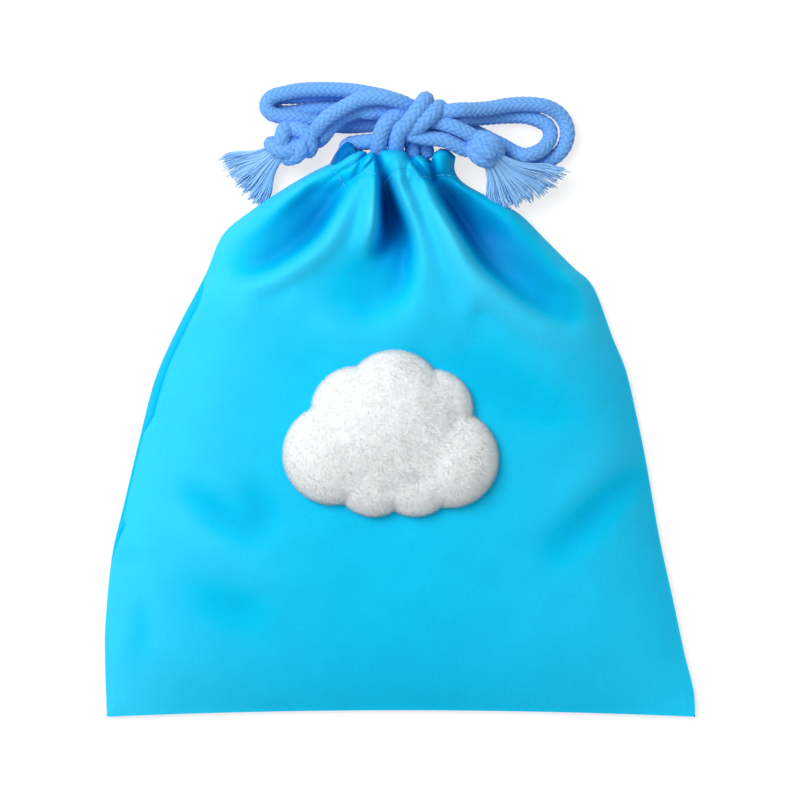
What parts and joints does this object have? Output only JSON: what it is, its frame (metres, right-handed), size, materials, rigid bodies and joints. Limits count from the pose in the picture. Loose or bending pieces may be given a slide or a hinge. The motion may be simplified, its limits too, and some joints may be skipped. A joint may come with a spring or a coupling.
{
  "type": "drawstring pouch",
  "caption": "Flat cloth pouch gathered shut by braided drawcords tied in a bow, with a puffy plush cloud sewn to its front.",
  "frame": {"origin": "under the middle of the bag, on the surface that it lies on", "axes": "+Z out of the front, +Y towards the gathered mouth, +X to the right of someone who looks at the front"},
  "size_m": [0.1999, 0.2146, 0.0372],
  "materials": {
    "polyester_cloth": "smooth plain-weave polyester with a faint satin sheen",
    "white_plush": "short-pile white plush",
    "braided_cord": "matt braided cotton-like cord"
  },
  "bodies": {
    "root": {"pouch_bag": "polyester_cloth", "plush_motif": "white_plush", "bow_knot": "braided_cord", "end_knot_left": "braided_cord", "end_knot_right": "braided_cord", "tassel_left": "braided_cord", "tassel_right": "braided_cord", "exit_left_1": "braided_cord", "exit_left_2": "braided_cord", "loop_left_outer": "braided_cord", "loop_left_inner": "braided_cord", "loop_right_outer": "braided_cord", "loop_right_inner": "braided_cord", "tail_left_upper": "braided_cord", "tail_left_lower": "braided_cord", "tail_right_upper": "braided_cord", "tail_right_lower": "braided_cord"}
  },
  "joints": []
}
